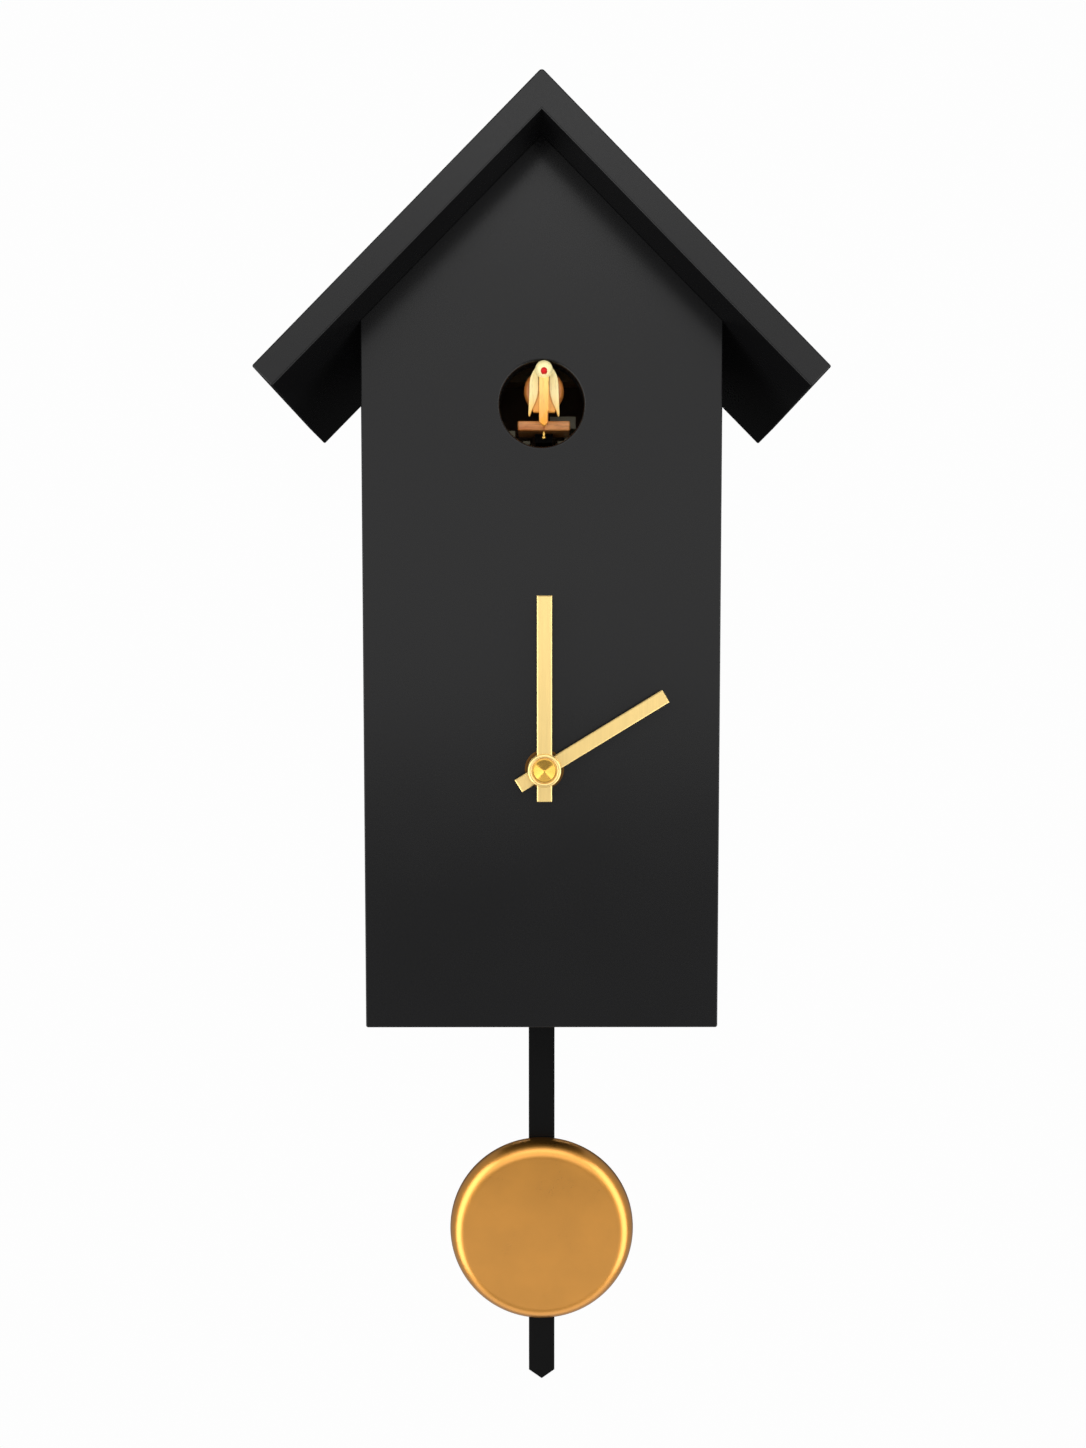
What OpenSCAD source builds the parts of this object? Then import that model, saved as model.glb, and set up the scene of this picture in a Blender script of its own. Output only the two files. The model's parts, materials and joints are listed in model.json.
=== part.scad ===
// Pendulum wall clock in the shape of a bird house.
// +Z is up, the clock looks along -Y, the wall is the plane y = 0.
// The origin is the centre of the hanger hole. Heights named _h count from the bottom of the case.

/* [Case] */
// Width of the case
case_w = 160; // [150:1:175]
// Depth of the case from the wall to the front face
case_d = 100; // [100:1:110]
// Thickness of the front panel, the walls and the bottom
wall = 9; // [8:0.5:9]
// Height of the side walls where they meet the roof
eave_h = 316; // [312:0.5:325]
// Height of the hanger hole
hanger_h = 330; // [326:1:334]

/* [Roof] */
// Thickness of a roof board
roof_t = 12; // [9:0.5:15]
// Half the width over both roof boards
roof_half_w = 122.5; // [110:0.5:140]
// Overhang in front of the face
overhang = 23; // [18:1:30]

/* [Front] */
// Diameter of the bird hole
hole_d = 37.5; // [37:0.5:42]
// Height of the bird hole's centre
hole_h = 280; // [278:1:282]
// Height of the hands' centre
hands_h = 118; // [112:1:124]
// Length of the minute hand from its centre
minute_len = 77; // [60:1:79]
// Length of the hour hand from its centre
hour_len = 63; // [45:0.5:68]
// Time shown by the hour hand
hour_shown = 1.95; // [1:0.05:12]

/* [Pendulum] */
// Diameter of the bob
bob_d = 89.5; // [70:0.5:100]
// Thickness of the bob
bob_t = 8.5; // [8:0.5:18]
// Depth of the bob's centre below the case
bob_drop = 110; // [80:0.5:120]
// Depth of the rod's point below the case
rod_drop = 187.5; // [170:0.5:210]
// Width of the rod
rod_w = 12.6; // [8:0.1:14]

/* [Hidden] */
$fn = 72;
eps = 0.05;        // running clearance of a shaft in its bore
gap = 0.3;         // gap between boards that are not glued
over = 1;          // how far a cut runs past the face that it goes through
face = -case_d;    // front face of the front panel
back_gap = 2;      // the boards end this far from the wall
rear = -back_gap;
base = -hanger_h;  // bottom of the case
inner_w = case_w - 2 * wall;
panel_back = face + wall;
apex_h = eave_h + case_w / 2;
rim = 1.1;         // chamfer of the bird hole

// back panel and hanger
back_t = 5;
back_front = rear - back_t;
access = [100, 150];
access_h = 20;
block = [15, 24, 30];
block_low_h = wall;
block_high_h = 280;
rail = [inner_w, 12, 24];
screw_r = 1.6;
screw_head_r = 3;
screw_head_t = 1.2;
plate_screw_z = [-17, 21];
plate_low = -22;
plate_high = 26;
plate_half_w = 12;
slot_w = 4.4;
slot_h = 10;
keyhole_r = 4.5;
pad = [8, 30];
pad_x = 75.5;

// clock movement, seen from its centre
move_x = 1.2;      // the hands' centre sits a little right of the middle
mz = base + hands_h;
move_w = 64;
move_top = 40;
move_low = -46;
move_front = panel_back + 1;
move_split = move_front + 13;
move_back = move_front + 24;
shell_t = 1.5;
rib_z = -28;
rib_t = 1.2;
post_r = 3.4;
post_x = move_w / 2 - 4.5;
post_z = [rib_z + 4.2, move_top - 4.5];
cell_z = -36.3;
cell_y = move_front + 12.5;
cell_r = 7.25;
cell_left = -24.3;
cell_len = 49.5;
cover_x = [-26, 28];

// gears: pairs share a centre distance, the wheels sit in layers one behind the other
motion_pinion = 12;
motion_wheel = 36;
hour_pinion = 10;
hour_teeth = 40;
motion_mod = 0.6;
hour_mod = motion_mod * (motion_pinion + motion_wheel) / (hour_pinion + hour_teeth);
motion_dist = motion_mod * (motion_pinion + motion_wheel) / 2;
leaves = 12;
centre_teeth = 96;
fourth_teeth = 90;
third_teeth = 60;
second_teeth = 72;
fine_mod = 0.25;
third_mod = 0.3;
function layer(start, width) = [move_front + start, move_front + start + width];
layer_hour = layer(2.5, 1.5);
layer_minute = layer(4.6, 1.5);
layer_centre = layer(7, 1.2);
layer_fourth = layer(9.2, 1.2);
layer_third = layer(11.4, 1.2);
layer_second = layer(13.6, 1.2);
layer_magnet = layer(16.6, 3);
layer_stator = layer(17.6, 1);
layer_board = layer(19.8, 1);
fourth_angle = 180;
third_angle = 75;
second_angle = 15;
rotor_angle = 10;
function polar(r, a) = [r * cos(a), r * sin(a)];
function pair_dist(teeth, mod) = mod * (leaves + teeth) / 2;
minute_at = [motion_dist, 0];
fourth_at = polar(pair_dist(centre_teeth, fine_mod), fourth_angle);
third_at = fourth_at + polar(pair_dist(fourth_teeth, fine_mod), third_angle);
second_at = third_at + polar(pair_dist(third_teeth, third_mod), second_angle);
rotor_at = second_at + polar(pair_dist(second_teeth, fine_mod), rotor_angle);
arbor_r = 0.6;
knob_arbor_r = 0.8;
tail_arbor_r = 0.9;
pivot_front = move_front + 0.9;
pivot_back = move_back - 0.9;
rotor_r = 2.6;
stator_x = [3, 24];
stator_z = [12, 34.5];
stator_leg = 3.2;
coil_z = 32.5;

// arbor, pipe, bush and hands
centre_r = 1.5;
pipe_r = 2.5;
bush_r = 4;
bush_front = face - 4.3;
nut_t = 2.5;
nut_r = 6.9;
washer_r = 8.8;
washer_t = 0.8;
hand_t = 0.8;
hour_hand_y = [face - 5.8 - hand_t, face - 5.8];
minute_hand_y = [face - 8.8 - hand_t, face - 8.8];
hour_hand_w = 6.4;
minute_hand_w = 6.6;
hour_hub_r = 8.3;
minute_hub_r = 7.35;
hand_tail = 13.7;
cone_r = 5.3;
cone_rim_t = 1;
cone_h = 3.2;

// pendulum
pivot_z = 34;
pin_r = 1.2;
lever_y = [move_back + 0.6, move_back + 1.8];
lever_w = 6.4;
stud_z = -58;
stud_r = 1.5;
coil_drop = -18.5;
rod_y = [move_back + 2.1, move_back + 3.7];
rod_mid = (rod_y[0] + rod_y[1]) / 2;
point_h = 4.5;
rod_top_z = stud_z + 7;
bob_z = base - bob_drop;
bob_r = bob_d / 2;
bob_back_y = rod_y[0] - 0.4;
bob_round = 6.8;
bob_skin = 1;
slot = [48, 16];

// bird and its carriage, seen from the hole's centre on the face
bird_x = 1;
bird_z = base + hole_h;
perch_w = 23.8;
perch_y = [12, 28];
perch_z = [-9.1, -4.8];
pin_y = 15;
carriage_y = [20, 64];
rack_z = -22;
rack_mod = 1;
pinion_teeth = 12;
pinion_y = 38;
pinion_z = rack_z - rack_mod * pinion_teeth / 2;
pinion_arbor_r = 1.5;
cheek_in = 6.3;
cheek_out = 9.5;
frame_low = -40;
flange_t = 2.3;
strip_w = 4.3;
shoulder = [3.6, 13];
wing_y = [2.8, 4.2];
peg_r = 0.55;
body_y = 4.6;
body_z = 7.3;
head_r = 3.85;
head_y = -1;
head_z = 14.7;
beak_z = 13.1;

// speaker, sound board and its controls
speaker_x = -22;
speaker_z = base + 215;
control_z = base + 205;
switch_x = 34;
button_x = 54;
button_r = 2.8;
board_y = [back_front - 8.6, back_front - 7];
board_x = [24, 66];
board_z = [base + 185, base + 228];
board_hole = 3;    // distance of the board's holes from its edges

// ---- helpers ----

// a flat outline in X and Z, as thick as the span of y
module plate(y) {
    translate([0, y[1], 0]) rotate([90, 0, 0]) linear_extrude(y[1] - y[0]) children();
}

// a round bar along Y
module bar_y(r, y) {
    translate([0, y[0], 0]) rotate([-90, 0, 0]) cylinder(r = r, h = y[1] - y[0]);
}

// a tube along Y
module tube_y(r_out, r_in, y) {
    difference() {
        bar_y(r_out, y);
        bar_y(r_in, [y[0] - 1, y[1] + 1]);
    }
}

// a box given by its spans along X, Y and Z
module span(x, y, z) {
    translate([x[0], y[0], z[0]]) cube([x[1] - x[0], y[1] - y[0], z[1] - z[0]]);
}

// a shape at a place in the plane of the movement
module at(p) {
    translate([p[0], 0, p[1]]) children();
}

// a shape seen from the movement's centre
module move() {
    translate([move_x, 0, mz]) children();
}

// a shape seen from the middle of the case at the movement's height, where the pendulum hangs
module swing() {
    translate([0, 0, mz]) children();
}

// a shape seen from the centre of the bird hole
module bird_place() {
    translate([bird_x, face, bird_z]) children();
}

// the same box on the left and on the right
module both_spans(x, y, z) {
    for (side = [-1, 1]) span([min(side * x[0], side * x[1]), max(side * x[0], side * x[1])], y, z);
}

// a gear's outline: straight flanks, thin enough to run with play
function gear_points(teeth, mod) = [
    for (i = [0 : teeth - 1], corner = [[-1.1, -0.27], [0.8, -0.1], [0.8, 0.1], [-1.1, 0.27]])
        polar(mod * (teeth / 2 + corner[0]), 360 / teeth * (i + corner[1]))];

// a gear with a tooth pointing at the angle given
module gear(teeth, mod, y, angle) {
    plate(y) rotate(angle) polygon(gear_points(teeth, mod));
}

// the turn of a follower whose driver shows it a tooth along the angle given
function mesh(teeth, angle) = angle + 180 + 180 / teeth;

// a screw along Y with its head towards the wall
module screw(head_y, length, r, head_r) {
    difference() {
        union() {
            bar_y(r, [head_y - length, head_y]);
            bar_y(head_r, [head_y - screw_head_t, head_y]);
        }
        span([-head_r, head_r], [head_y - 0.6, head_y + 1], [-0.3, 0.3]);
        span([-0.3, 0.3], [head_y - 0.6, head_y + 1], [-head_r, head_r]);
    }
}

// ---- case ----

module gable(half_w, low_h, side_h) {
    polygon([[-half_w, base + low_h], [half_w, base + low_h], [half_w, base + side_h],
        [0, base + side_h + half_w], [-half_w, base + side_h]]);
}

module front_panel() {
    color("#2e2e2f") difference() {
        plate([face, panel_back]) gable(case_w / 2, 0, eave_h);
        translate([0, 0, bird_z]) {
            bar_y(hole_d / 2, [face - over, panel_back + over]);
            translate([0, face - rim, 0]) rotate([-90, 0, 0])
                cylinder(r1 = hole_d / 2 + 2 * rim, r2 = hole_d / 2, h = 2 * rim);
        }
        move() bar_y(bush_r + gap, [face - over, panel_back + over]);
    }
}

module side_wall(side) {
    outer = case_w / 2;
    color("#2b2b2c") plate([panel_back, rear]) polygon([
        [side * outer, base], [side * (outer - wall), base],
        [side * (outer - wall), base + eave_h + wall], [side * outer, base + eave_h]]);
}

module bottom_panel() {
    color("#2b2b2c") difference() {
        span([-inner_w / 2, inner_w / 2], [panel_back, rear], [base, base + wall]);
        span([-slot[0] / 2, slot[0] / 2], [rod_mid - slot[1] / 2, rod_mid + slot[1] / 2],
            [base - over, base + wall + over]);
    }
}

module roof_board(side) {
    under = roof_t / sqrt(2);
    top = base + apex_h + roof_t * sqrt(2);
    end = roof_half_w;
    color("#38383a") plate([face - overhang, rear]) polygon([
        [0, top], [side * end, top - end], [side * (end - under), top - end - under], [0, base + apex_h]]);
}

module panel_screw_places() {
    x = inner_w / 2 - block[0] / 2;
    for (side = [-1, 1], h = [block_low_h + block[2] / 2, block_high_h + block[2] / 2])
        translate([side * x, 0, base + h]) children();
}

module back_panel() {
    half = inner_w / 2 - gap;
    color("#4a4038") difference() {
        plate([back_front, rear]) gable(half, wall + gap, eave_h + wall);
        span([-access[0] / 2, access[0] / 2], [back_front - over, 0],
            [base + access_h, base + access_h + access[1]]);
        // room for the head of the wall screw
        bar_y(keyhole_r + 2, [back_front - over, 0]);
        span([-keyhole_r - 1, keyhole_r + 1], [back_front - over, 0], [0, slot_h + 3]);
        for (z = plate_screw_z) translate([0, 0, z]) bar_y(screw_r + 0.1, [back_front - over, 0]);
        panel_screw_places() bar_y(screw_r + 0.2, [back_front - over, 0]);
        // sound slots in front of the speaker, and the openings of the switch and the button
        for (i = [-3 : 3])
            span([speaker_x - 16, speaker_x + 16], [back_front - over, 0],
                [speaker_z + i * 5 - 1, speaker_z + i * 5 + 1]);
        span([switch_x - 5, switch_x + 5], [back_front - over, 0], [control_z - 2, control_z + 2]);
        translate([button_x, 0, control_z]) bar_y(button_r + 0.4, [back_front - over, 0]);
    }
}

module back_panel_screws() {
    color("#8d8d8d") panel_screw_places() screw(rear + screw_head_t, 16, screw_r - 0.1, screw_head_r);
}

module corner_blocks() {
    color("#b89a6a") for (side = [-1, 1], h = [block_low_h, block_high_h]) {
        x = side * (inner_w - block[0]) / 2;
        difference() {
            span([x - block[0] / 2, x + block[0] / 2], [back_front - block[1], back_front],
                [base + h, base + h + block[2]]);
            translate([x, 0, base + h + block[2] / 2]) bar_y(screw_r - 0.1, [-16.8, 0]);
        }
    }
}

module hanger_rail() {
    color("#b89a6a") difference() {
        span([-rail[0] / 2, rail[0] / 2], [back_front - rail[1], back_front],
            [-rail[2] / 2 - 8, rail[2] / 2 + 12]);
        for (z = plate_screw_z) translate([0, 0, z]) bar_y(screw_r - 0.1, [-14, 0]);
        // corners cut back under the roof
        for (side = [-1, 1]) translate([side * (inner_w / 2 + 20), 0, base + eave_h + wall + 20])
            rotate([0, side * 45, 0]) span([-60, 60], [-40, 0], [-20 * sqrt(2) - gap, 60]);
    }
}

module hanger_plate() {
    color("#b9b9b4") difference() {
        span([-plate_half_w, plate_half_w], [rear, 0], [plate_low, plate_high]);
        bar_y(keyhole_r, [rear - over, over]);
        span([-slot_w / 2, slot_w / 2], [rear - over, over], [0, slot_h]);
        translate([0, 0, slot_h]) bar_y(slot_w / 2, [rear - over, over]);
        for (z = plate_screw_z) translate([0, 0, z]) {
            bar_y(screw_r + 0.1, [rear - over, over]);
            bar_y(screw_head_r + 0.2, [-1.3, over]);
        }
    }
}

module hanger_screws() {
    color("#8d8d8d") for (z = plate_screw_z) translate([0, 0, z])
        screw(-0.1, 13.5, screw_r - 0.1, screw_head_r);
}

module wall_pads() {
    color("#1d1d1d") both_spans([pad_x - pad[0] / 2, pad_x + pad[0] / 2], [rear, 0],
        [base + 12, base + 12 + pad[1]]);
}

// ---- clock movement ----

module housing_outline(inset) {
    translate([-move_w / 2 + inset, move_low + inset])
        square([move_w - 2 * inset, move_top - move_low - 2 * inset]);
}

// blind holes for the wheels' pivots
module pivot_holes(y) {
    for (p = [fourth_at, third_at, second_at, rotor_at]) at(p) bar_y(arbor_r + eps, y);
}

// a round bar at each of the four screws
module at_screws(r, y) {
    for (x = [-post_x, post_x], z = post_z) at([x, z]) bar_y(r, y);
}

// the rib that parts the gears from the battery
module rib(y) {
    span([-move_w / 2 + 1, move_w / 2 - 1], y, [rib_z, rib_z + rib_t]);
}

module housing_front() {
    color("#20201f") move() difference() {
        union() {
            difference() {
                plate([move_front, move_split]) housing_outline(0);
                plate([move_front + shell_t, move_split + over]) housing_outline(shell_t);
            }
            rib([move_front + 1, move_split]);
            at_screws(post_r, [move_front + 1, move_split]);
        }
        bar_y(bush_r, [move_front - over, move_front + 3]);
        pivot_holes([pivot_front - 0.1, move_front + 3]);
        at(minute_at) bar_y(knob_arbor_r + eps, [pivot_front - 0.1, move_front + 3]);
        at_screws(1, [move_split - 8, move_split + over]);
    }
}

module housing_back() {
    color("#20201f") move() difference() {
        union() {
            difference() {
                plate([move_split, move_back]) housing_outline(0);
                plate([move_split - over, move_back - shell_t]) housing_outline(shell_t);
            }
            rib([move_split, move_back - 1]);
            at_screws(post_r, [move_split, move_back - 1]);
        }
        // battery opening
        span(cover_x, [move_back - 3, move_back + over], [move_low + 2.5, rib_z - 1]);
        pivot_holes([move_back - 3, pivot_back + 0.1]);
        bar_y(tail_arbor_r + eps, [move_back - 3, pivot_back + 0.1]);
        at(minute_at) bar_y(knob_arbor_r + eps, [move_back - 3, move_back + over]);
        at([-move_x, pivot_z]) bar_y(pin_r, [move_back - 1, move_back + over]);
        at_screws(1.15, [move_split - over, move_back + over]);
    }
}

module housing_screws() {
    color("#9a9a9a") move() for (x = [-post_x, post_x], z = post_z)
        at([x, z]) screw(move_back + screw_head_t, 15, 0.95, 2);
}

module battery_cover() {
    color("#20201f") move() difference() {
        span([cover_x[0] + 0.2, cover_x[1] - 0.2], [move_back - shell_t + 0.1, move_back],
            [move_low + 2.7, rib_z - 1.2]);
        for (i = [-2 : 2])
            span([-6, 8], [move_back - 0.4, move_back + over], [cell_z + i * 2 - 0.4, cell_z + i * 2 + 0.4]);
    }
}

module threaded_bush() {
    color("#caa650") move() difference() {
        union() {
            bar_y(bush_r, [bush_front, move_front + shell_t]);
            bar_y(6, [move_front + shell_t, move_front + shell_t + 0.6]);
        }
        bar_y(pipe_r + eps, [bush_front - over, move_front + 3]);
    }
}

module rubber_washer() {
    color("#151515") move() tube_y(9, bush_r + 0.2, [panel_back, move_front]);
}

module metal_washer() {
    color("#c9a44a") move() tube_y(washer_r, bush_r + 0.2, [face - washer_t, face]);
}

module hex_nut() {
    color("#c9a44a") move() difference() {
        plate([face - washer_t - nut_t, face - washer_t]) circle(r = nut_r, $fn = 6);
        bar_y(bush_r + 0.02, [face - washer_t - nut_t - over, face + over]);
    }
}

module clock_battery() {
    color("#8a8f96") move() translate([cell_left, cell_y, cell_z]) rotate([0, 90, 0]) {
        cylinder(r = cell_r, h = cell_len);
        translate([0, 0, cell_len]) cylinder(r = 2.6, h = 1.5);
    }
}

module contact_plus() {
    front = cell_left + cell_len + 1.6;
    color("#c8c8c0") move() {
        span([front, front + 0.5], [cell_y - 5, cell_y + 5], [cell_z - 5, cell_z + 8]);
        span([front + 0.5, move_w / 2 - shell_t - 0.1], [cell_y - 5, cell_y + 5], [cell_z + 7.5, cell_z + 8]);
    }
}

module contact_minus() {
    wire_r = 0.45;
    color("#c8c8c0") move() translate([cell_left, cell_y, cell_z]) {
        span([-6, -5.5], [-5.5, 5.5], [-5.5, 5.5]);
        for (i = [0 : 3]) translate([-5 + i * 1.3, 0, 0]) rotate([0, 90, 0])
            rotate_extrude() translate([4 - i * 0.5, 0]) circle(r = wire_r, $fn = 24);
    }
}

module stepper_coil() {
    middle = (layer_stator[0] + layer_stator[1]) / 2;
    low_x = stator_x[0] + stator_leg + 0.3;
    high_x = stator_x[1] - stator_leg - 0.3;
    color("#b5651d") move() translate([0, middle, coil_z]) difference() {
        rotate([0, 90, 0]) {
            translate([0, 0, low_x]) cylinder(r = 3.6, h = high_x - low_x);
            for (x = [low_x, high_x - 0.9]) translate([0, 0, x]) cylinder(r = 4.2, h = 0.9);
        }
        span([low_x - over, high_x + over], [-0.6, 0.6], [-2.2, 2.2]);
    }
}

module stator() {
    width = stator_x[1] - stator_x[0];
    color("#9aa0a6") move() difference() {
        plate(layer_stator) {
            translate([stator_x[0], stator_z[0]]) square([width, 10]);
            for (x = [stator_x[0], stator_x[1] - stator_leg])
                translate([x, stator_z[0]]) square([stator_leg, stator_z[1] - stator_z[0]]);
            translate([stator_x[0], coil_z - 2]) square([width, 4]);
        }
        at(rotor_at) bar_y(rotor_r + 0.6, [layer_stator[0] - over, layer_stator[1] + over]);
    }
}

module arbor(p, r) {
    at(p) bar_y(r, [pivot_front, pivot_back]);
}

module rotor() {
    color("#5a5d63") move() {
        arbor(rotor_at, arbor_r);
        at(rotor_at) {
            gear(leaves, fine_mod, layer_second, mesh(leaves, rotor_angle));
            bar_y(rotor_r, layer_magnet);
        }
    }
}

// an arbor with a wheel in one layer and its pinion in the next
module train_wheel(p, teeth, mod, y, angle, pinion_mod, pinion_y, pinion_angle) {
    color("#e8e4da") move() {
        arbor(p, arbor_r);
        at(p) {
            gear(teeth, mod, y, angle);
            gear(leaves, pinion_mod, pinion_y, mesh(leaves, pinion_angle));
        }
    }
}

module second_wheel() {
    train_wheel(second_at, second_teeth, fine_mod, layer_second, rotor_angle,
        third_mod, layer_third, second_angle);
}

module third_wheel() {
    train_wheel(third_at, third_teeth, third_mod, layer_third, second_angle,
        fine_mod, layer_fourth, third_angle);
}

module fourth_wheel() {
    train_wheel(fourth_at, fourth_teeth, fine_mod, layer_fourth, third_angle,
        fine_mod, layer_centre, fourth_angle);
}

module centre_wheel() {
    color("#e8e4da") move() difference() {
        gear(centre_teeth, fine_mod, layer_centre, fourth_angle);
        bar_y(centre_r + eps, [layer_centre[0] - over, layer_centre[1] + over]);
    }
}

module minute_arbor() {
    color("#c9a44a") move() {
        bar_y(centre_r, [minute_hand_y[0] - 1.6, layer_fourth[0]]);
        bar_y(tail_arbor_r, [layer_fourth[0], pivot_back]);
        gear(motion_pinion, motion_mod, layer_minute, 0);
    }
}

module minute_wheel() {
    color("#e8e4da") move() at(minute_at) {
        gear(motion_wheel, motion_mod, layer_minute, mesh(motion_wheel, 0));
        gear(hour_pinion, hour_mod, layer_hour, mesh(hour_pinion, 0));
        bar_y(knob_arbor_r, [pivot_front, move_back + 5]);
    }
}

module setting_knob() {
    knob_r = 4.3;
    grooves = 16;
    color("#2a2a2a") move() at(minute_at) difference() {
        bar_y(knob_r, [move_back + 0.8, move_back + 5.3]);
        bar_y(knob_arbor_r + 0.01, [move_back, move_back + 5]);
        for (i = [1 : grooves])
            at(polar(knob_r + 0.2, i * 360 / grooves)) bar_y(0.45, [move_back + 1.6, move_back + 6]);
    }
}

module hour_wheel() {
    color("#e8e4da") move() difference() {
        union() {
            gear(hour_teeth, hour_mod, layer_hour, 0);
            bar_y(pipe_r, [hour_hand_y[0], layer_hour[0] + 0.1]);
        }
        bar_y(centre_r + eps, [hour_hand_y[0] - over, layer_hour[1] + over]);
    }
}

module circuit_board() {
    top = layer_board[0];
    color("#2f6b3a") move() {
        span([7, 23.4], layer_board, [-25.5, -5]);
        span([11, 17], [top - 1, top], [-18, -12]);
        span([19, 22.5], [top - 1.8, top], [-23, -15]);
    }
}

// ---- hands ----

module hand(length, width, hub_r, bore_r, y) {
    plate(y) difference() {
        union() {
            translate([-width / 2, -hand_tail]) square([width, length + hand_tail]);
            circle(r = hub_r);
        }
        circle(r = bore_r);
    }
}

module hour_hand() {
    color("#f2d488") move() rotate([0, hour_shown * 30, 0])
        hand(hour_len, hour_hand_w, hour_hub_r, pipe_r + 0.01, hour_hand_y);
}

module minute_hand() {
    color("#f2d488") move() hand(minute_len, minute_hand_w, minute_hub_r, centre_r + 0.01, minute_hand_y);
}

module cone_nut() {
    color("#e0b030") move() difference() {
        translate([0, minute_hand_y[0], 0]) rotate([90, 0, 0]) {
            cylinder(r = cone_r, h = cone_rim_t);
            translate([0, 0, cone_rim_t]) cylinder(r1 = cone_r - 0.4, r2 = 0.4, h = cone_h);
        }
        bar_y(centre_r + 0.01, [minute_hand_y[0] - 1.7, minute_hand_y[0] + over]);
    }
}

// ---- pendulum ----

module pendulum_coil() {
    color("#b5651d") swing() at([0, coil_drop]) tube_y(7, 1.5, [move_back - 7.5, move_back - 1.6]);
}

module pendulum_pin() {
    color("#b9b9b4") swing() at([0, pivot_z]) {
        bar_y(pin_r, [move_back - 0.9, rod_y[1] + 0.8]);
        bar_y(2.2, [rod_y[1] + 0.1, rod_y[1] + 0.8]);
    }
}

module pendulum_lever() {
    color("#d8d4c8") swing() difference() {
        union() {
            plate(lever_y) {
                translate([-lever_w / 2, stud_z]) square([lever_w, pivot_z - stud_z]);
                translate([0, pivot_z]) circle(r = 4);
                translate([0, stud_z]) circle(r = lever_w / 2);
            }
            at([0, pivot_z]) bar_y(2.4, [lever_y[0], rod_y[1] - 0.4]);
            at([0, stud_z]) {
                bar_y(stud_r, [lever_y[0], rod_y[1] + 1.8]);
                bar_y(2.6, [rod_y[1] + 0.9, rod_y[1] + 1.8]);
            }
        }
        at([0, pivot_z]) bar_y(pin_r + eps, [lever_y[0] - over, rod_y[1] + 2]);
    }
}

module pendulum_magnet() {
    color("#7a7d82") swing() at([0, coil_drop]) bar_y(3.1, [lever_y[1], lever_y[1] + 2.4]);
}

module pendulum_rod() {
    top = mz + rod_top_z;
    tip = base - rod_drop;
    half = rod_w / 2;
    corner = 2;
    color("#141414") difference() {
        plate(rod_y) polygon([
            [-half, top - corner], [-half + corner, top], [half - corner, top], [half, top - corner],
            [half, tip + point_h], [0, tip], [-half, tip + point_h]]);
        swing() at([0, stud_z]) bar_y(stud_r + 0.1, [rod_y[0] - over, rod_y[1] + over]);
    }
}

function bob_arc(r, round, steps) = [
    for (i = [0 : steps]) [r - round + round * sin(90 * i / steps), round - round * cos(90 * i / steps)]];

// half of the bob's section: radius against depth behind its front
module bob_section(r, depth, round) {
    polygon(concat([[0, 0]], bob_arc(r, round, 8), [[r, depth], [0, depth]]));
}

module bob_shell() {
    color("#c88b35") translate([0, bob_back_y - bob_t, bob_z]) rotate([-90, 0, 0]) difference() {
        rotate_extrude() bob_section(bob_r, bob_t, bob_round);
        translate([0, 0, bob_skin])
            rotate_extrude() bob_section(bob_r - bob_skin, bob_t, bob_round - bob_skin);
    }
}

module bob_back() {
    color("#c88b35") translate([0, 0, bob_z]) bar_y(bob_r - bob_skin - eps, [bob_back_y - 1, bob_back_y]);
}

// a strap behind the rod that grips it and holds the bob where it is set
module bob_clip() {
    leg = rod_w / 2 + 0.1;
    strap = 1;
    height = [-9, 9];
    color("#b9b9b4") translate([0, 0, bob_z]) {
        both_spans([leg, leg + strap], [bob_back_y, rod_y[1] + strap], height);
        both_spans([leg + strap, leg + 8], [bob_back_y, bob_back_y + strap], height);
        span([-leg - strap, leg + strap], [rod_y[1] + 0.1, rod_y[1] + strap], height);
    }
}

// ---- bird, seen from the centre of its hole ----

module cuckoo_frame() {
    side_y = [wall + flange_t, carriage_y[1] + 2];
    color("#5c5a48") bird_place() difference() {
        union() {
            span([-30, 30], [wall, wall + flange_t], [frame_low, -10]);
            both_spans([cheek_in, cheek_out], side_y, [frame_low, -13.5]);
            span([-cheek_out, cheek_out], side_y, [frame_low, frame_low + 2]);
        }
        // way out of the perch and the carriage
        span([-13, 18], [wall - over, wall + 5], [-23, 0]);
        for (side = [-1, 1]) translate([side * 24, 0, frame_low + 15]) bar_y(1.8, [wall - over, wall + 4]);
        // grooves of the carriage
        span([-8, 8], [side_y[0], side_y[1] + over], [-18, -15]);
        translate([-12, pinion_y, pinion_z]) rotate([0, 90, 0]) cylinder(r = pinion_arbor_r + eps, h = 24);
    }
}

module cuckoo_carriage() {
    tooth = PI * rack_mod;
    color("#26262a") bird_place() {
        span([-5.9, 5.9], [32, carriage_y[1]], [rack_z + 1.2, -12.5]);
        span([-7.7, 7.7], [34, carriage_y[1]], [-17.7, -15.3]);
        span([-4, 4], [carriage_y[0], 40], [-13, -11]);
        span([-4, 4], [carriage_y[0], perch_y[1] - 1], [-11, perch_z[0]]);
        // rack, with a gap over the pinion's upper tooth
        translate([-5, pinion_y, rack_z]) for (i = [-1 : 7])
            rotate([90, 0, 90]) linear_extrude(10) translate([(i + 0.5) * tooth, 0]) polygon([
                [-0.27 * tooth, 1.3], [-0.1 * tooth, -0.8], [0.1 * tooth, -0.8], [0.27 * tooth, 1.3]]);
    }
}

module drive_pinion() {
    color("#d8d4c8") bird_place() translate([0, pinion_y, pinion_z]) {
        translate([-5, 0, 0]) rotate([90, 0, 90])
            linear_extrude(10) rotate(90) polygon(gear_points(pinion_teeth, rack_mod));
        rotate([0, 90, 0]) translate([0, 0, -cheek_out]) cylinder(r = pinion_arbor_r, h = 2 * cheek_out + 4);
    }
}

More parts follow.
